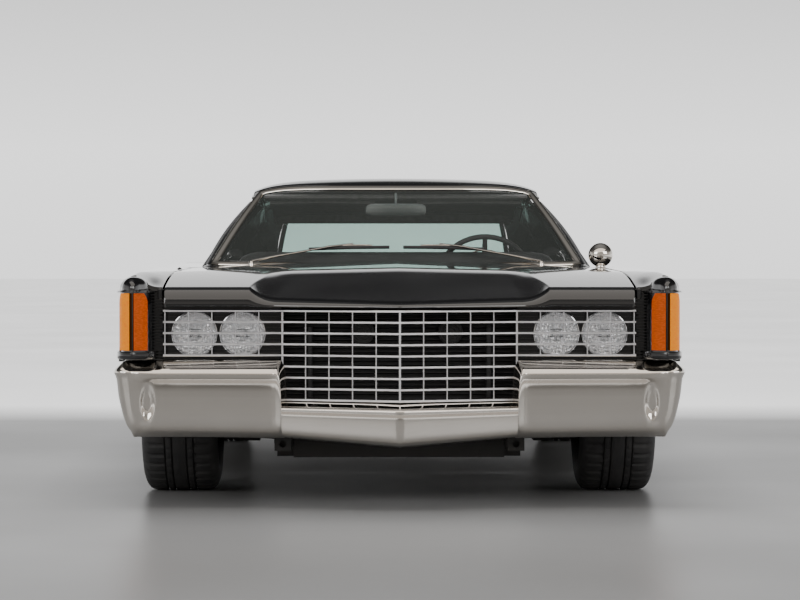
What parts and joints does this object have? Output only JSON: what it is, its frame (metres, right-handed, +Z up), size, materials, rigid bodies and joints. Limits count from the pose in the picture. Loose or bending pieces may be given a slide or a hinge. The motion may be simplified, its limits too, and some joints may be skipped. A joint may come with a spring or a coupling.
{
  "type": "two-door luxury coupe",
  "caption": "Long-hood, short-deck two-door coupe in black with chrome bumpers and an egg-crate grille, on low-profile tyres with its air suspension let down; doors, hood, lid and wheels move.",
  "frame": {"origin": "on the floor under the middle of the car's length and width", "axes": "+Z up, the nose points to -Y, +X is the driver's left side"},
  "size_m": [2.029, 5.613, 1.2218],
  "materials": {
    "paint": "polished black clear-coated paint",
    "chrome": "bright chrome plate",
    "dark_metal": "satin black chassis paint",
    "engine_iron": "painted cast iron",
    "pipe": "dull aluminised steel",
    "lamp_black": "gloss black",
    "clear_lens": "clear pressed lens over a bright reflector",
    "amber_lens": "ribbed amber lens",
    "red_lens": "ribbed red lens",
    "tinted_glass": "green tinted safety glass",
    "seat_leather": "black leather with sewn channels",
    "trim_plastic": "grained black vinyl",
    "tyre": "road rubber",
    "alloy": "machined and polished"
  },
  "bodies": {
    "chassis": {"floor_pan": "dark_metal", "frame": "dark_metal", "engine": "engine_iron", "radiator": "dark_metal", "front_bumper": "chrome", "grille": "chrome", "lamp_housings": "lamp_black", "headlamps": "clear_lens", "front_signal_lamps": "amber_lens", "front_fenders": "paint", "front_wheelhouses": "dark_metal", "cowl": "paint", "hinge_pillars": "paint", "wipers": "chrome", "windshield": "tinted_glass", "roof": "paint", "sail_panels": "paint", "quarter_windows": "tinted_glass", "rear_window": "tinted_glass", "quarter_panels": "paint", "rear_shelf": "paint", "luggage_floor": "dark_metal", "rear_wheelhouses": "dark_metal", "tail_panel": "paint", "tail_lamps": "red_lens", "rear_bumper": "chrome", "fuel_tank": "dark_metal", "exhaust": "pipe", "front_control_arms": "dark_metal", "rear_axle": "dark_metal", "leaf_springs": "dark_metal", "dashboard": "trim_plastic", "steering_column": "trim_plastic", "front_seat": "seat_leather", "rear_seat": "seat_leather"},
    "hood": {"hood": "paint"},
    "luggage_lid": {"luggage_lid": "paint"},
    "steering_wheel": {"steering_wheel": "trim_plastic"},
    "left_door": {"left_door": "paint", "left_door_glass": "tinted_glass", "side_mirror": "chrome"},
    "right_door": {"right_door": "paint", "right_door_glass": "tinted_glass"},
    "left_knuckle": {"left_knuckle": "dark_metal"},
    "right_knuckle": {"right_knuckle": "dark_metal"},
    "front_left_wheel": {"front_left_tyre": "tyre", "front_left_rim": "alloy"},
    "front_right_wheel": {"front_right_tyre": "tyre", "front_right_rim": "alloy"},
    "rear_left_wheel": {"rear_left_tyre": "tyre", "rear_left_rim": "alloy"},
    "rear_right_wheel": {"rear_right_tyre": "tyre", "rear_right_rim": "alloy"}
  },
  "joints": [
    {"name": "left_steer", "type": "hinge", "parent": "chassis", "child": "left_knuckle", "pos_m": [0.745, -1.8165, 0.367], "axis": [0, 0, 1], "range_deg": [-30, 30]},
    {"name": "right_steer", "type": "hinge", "parent": "chassis", "child": "right_knuckle", "pos_m": [-0.745, -1.8165, 0.367], "axis": [0, 0, 1], "range_deg": [-30, 30]},
    {"name": "steering_wheel_turn", "type": "hinge", "parent": "chassis", "child": "steering_wheel", "pos_m": [0.38, -0.3365, 0.79], "axis": [0, 0.8829, 0.4695], "range_deg": [-451, 451]},
    {"name": "front_left_spin", "type": "hinge", "parent": "left_knuckle", "child": "front_left_wheel", "pos_m": [0.817, -1.8165, 0.367], "axis": [1, 0, 0], "continuous": true},
    {"name": "front_right_spin", "type": "hinge", "parent": "right_knuckle", "child": "front_right_wheel", "pos_m": [-0.817, -1.8165, 0.367], "axis": [1, 0, 0], "continuous": true},
    {"name": "rear_left_spin", "type": "hinge", "parent": "chassis", "child": "rear_left_wheel", "pos_m": [0.817, 1.2315, 0.367], "axis": [1, 0, 0], "continuous": true},
    {"name": "rear_right_spin", "type": "hinge", "parent": "chassis", "child": "rear_right_wheel", "pos_m": [-0.817, 1.2315, 0.367], "axis": [1, 0, 0], "continuous": true},
    {"name": "hood_hinge", "type": "hinge", "parent": "chassis", "child": "hood", "pos_m": [0, -0.9265, 0.77], "axis": [-1, 0, 0], "range_deg": [0, 48]},
    {"name": "luggage_lid_hinge", "type": "hinge", "parent": "chassis", "child": "luggage_lid", "pos_m": [0, 1.6675, 0.792], "axis": [1, 0, 0], "range_deg": [0, 70]},
    {"name": "left_door_hinge", "type": "hinge", "parent": "chassis", "child": "left_door", "pos_m": [0.99, -0.8535, 0.5], "axis": [0, 0, -1], "range_deg": [0, 65]},
    {"name": "right_door_hinge", "type": "hinge", "parent": "chassis", "child": "right_door", "pos_m": [-0.99, -0.8535, 0.5], "axis": [0, 0, 1], "range_deg": [0, 65]}
  ],
  "couplings": [
    {"joint": "right_steer", "follows": "left_steer", "ratio": 1},
    {"joint": "steering_wheel_turn", "follows": "left_steer", "ratio": 15}
  ]
}
